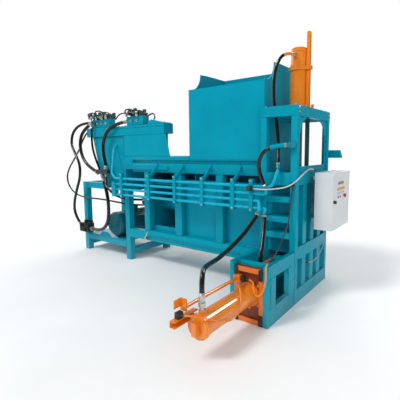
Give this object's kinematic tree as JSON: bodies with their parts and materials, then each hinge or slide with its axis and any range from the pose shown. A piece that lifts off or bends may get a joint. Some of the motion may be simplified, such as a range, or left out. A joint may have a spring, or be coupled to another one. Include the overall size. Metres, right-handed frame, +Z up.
{
  "type": "silage baler",
  "caption": "Hydraulic silage baler with hopper, long press chamber, upright press, push-out cylinder and power unit.",
  "frame": {"origin": "on the floor under the axis of the upright press cylinder", "axes": "+X along the long press chamber towards the bale chamber and its control cabinet, +Y away from the push cylinder towards the bale outlet, +Z up"},
  "size_m": [4.4573, 2.655, 2.88],
  "materials": {
    "teal_paint": "gloss",
    "orange_paint": "gloss",
    "chrome_rod": "polished",
    "bare_steel": "satin",
    "dark_iron": "satin",
    "motor_green": "satin",
    "hose_rubber": "matte",
    "cable_sheath": "matte",
    "grey_cabinet": "satin",
    "black_plastic": "satin",
    "lamp_amber": "gloss",
    "start_green": "gloss",
    "stop_red": "gloss"
  },
  "bodies": {
    "frame": {"stand_frame": "teal_paint", "chamber_frame": "teal_paint", "chamber_panels": "teal_paint", "hopper": "teal_paint", "gantry_frame": "teal_paint", "gantry_panels": "teal_paint", "gantry_head": "teal_paint", "bale_chamber": "teal_paint", "push_box_frame": "teal_paint", "push_mount_plate": "orange_paint", "outlet_collar": "teal_paint", "main_cylinder": "teal_paint", "press_cylinder": "orange_paint", "push_cylinder": "orange_paint", "push_guide": "orange_paint", "oil_tank": "teal_paint", "tank_lid": "teal_paint", "valve_manifolds": "dark_iron", "solenoid_valves": "black_plastic", "motor_body": "motor_green", "motor_cowl": "motor_green", "pump": "dark_iron", "pump_block": "dark_iron", "steel_pipes": "teal_paint", "pipe_clamps": "teal_paint", "hose_fittings": "bare_steel", "sensors_and_glands": "black_plastic", "cabinet_body": "grey_cabinet", "hose_block_to_tee": "hose_rubber", "hose_tee_to_pipes": "hose_rubber", "hose_tee_to_left_valves": "hose_rubber", "hose_tee_to_right_valves": "hose_rubber", "hose_left_valves_to_block": "hose_rubber", "hose_valves_to_main_rear": "hose_rubber", "hose_valves_to_main_front": "hose_rubber", "hose_press_top": "hose_rubber", "hose_press_bottom": "hose_rubber", "hose_push_rear": "hose_rubber", "hose_push_front": "hose_rubber", "cable_control": "cable_sheath", "cable_push_front": "cable_sheath", "cable_push_rear": "cable_sheath", "cable_chamber": "cable_sheath"},
    "main_ram": {"main_rod": "chrome_rod", "main_platen": "teal_paint"},
    "press_ram": {"press_rod": "chrome_rod", "press_platen": "teal_paint", "press_indicator": "orange_paint"},
    "push_ram": {"push_rod": "chrome_rod", "push_platen": "teal_paint", "push_indicator": "orange_paint"},
    "shaft": {"motor_shaft": "bare_steel"},
    "filler": {"filler_cap": "bare_steel"},
    "drain": {"drain_lever": "bare_steel"},
    "door": {"cabinet_door": "grey_cabinet", "pilot_lamps": "lamp_amber"},
    "lock": {"door_lock": "black_plastic"},
    "start": {"start_button": "start_green"},
    "stop": {"stop_button": "stop_red"},
    "estop": {"emergency_stop": "stop_red"}
  },
  "joints": [
    {"name": "main_ram_slide", "type": "slide", "parent": "frame", "child": "main_ram", "axis": [1, 0, 0], "range_m": [0, 0.96]},
    {"name": "press_ram_slide", "type": "slide", "parent": "frame", "child": "press_ram", "axis": [0, 0, -1], "range_m": [0, 0.585]},
    {"name": "push_ram_slide", "type": "slide", "parent": "frame", "child": "push_ram", "axis": [0, 1, 0], "range_m": [0, 0.75]},
    {"name": "motor_spin", "type": "hinge", "parent": "frame", "child": "shaft", "pos_m": [-2.79, -0.395, 0.493], "axis": [0, 1, 0], "continuous": true},
    {"name": "filler_cap_turn", "type": "hinge", "parent": "frame", "child": "filler", "pos_m": [-2.7, 0.2, 1.985], "axis": [0, 0, 1], "range_deg": [0, 120]},
    {"name": "drain_lever_turn", "type": "hinge", "parent": "frame", "child": "drain", "pos_m": [-2.03, -0.468, 0.392], "axis": [0, 1, 0], "range_deg": [0, 90]},
    {"name": "cabinet_door_hinge", "type": "hinge", "parent": "frame", "child": "door", "pos_m": [0.47, 0.388, 1.07], "axis": [0, 0, 1], "range_deg": [0, 110]},
    {"name": "door_lock_turn", "type": "hinge", "parent": "door", "child": "lock", "pos_m": [0.48, -0.184, 1.07], "axis": [1, 0, 0], "range_deg": [0, 90]},
    {"name": "start_button_press", "type": "slide", "parent": "door", "child": "start", "axis": [-1, 0, 0], "range_m": [0, 0.005], "stiffness_N_per_m": 800},
    {"name": "stop_button_press", "type": "slide", "parent": "door", "child": "stop", "axis": [-1, 0, 0], "range_m": [0, 0.005], "stiffness_N_per_m": 800},
    {"name": "emergency_stop_press", "type": "slide", "parent": "door", "child": "estop", "axis": [-1, 0, 0], "range_m": [0, 0.007], "stiffness_N_per_m": 1200}
  ]
}
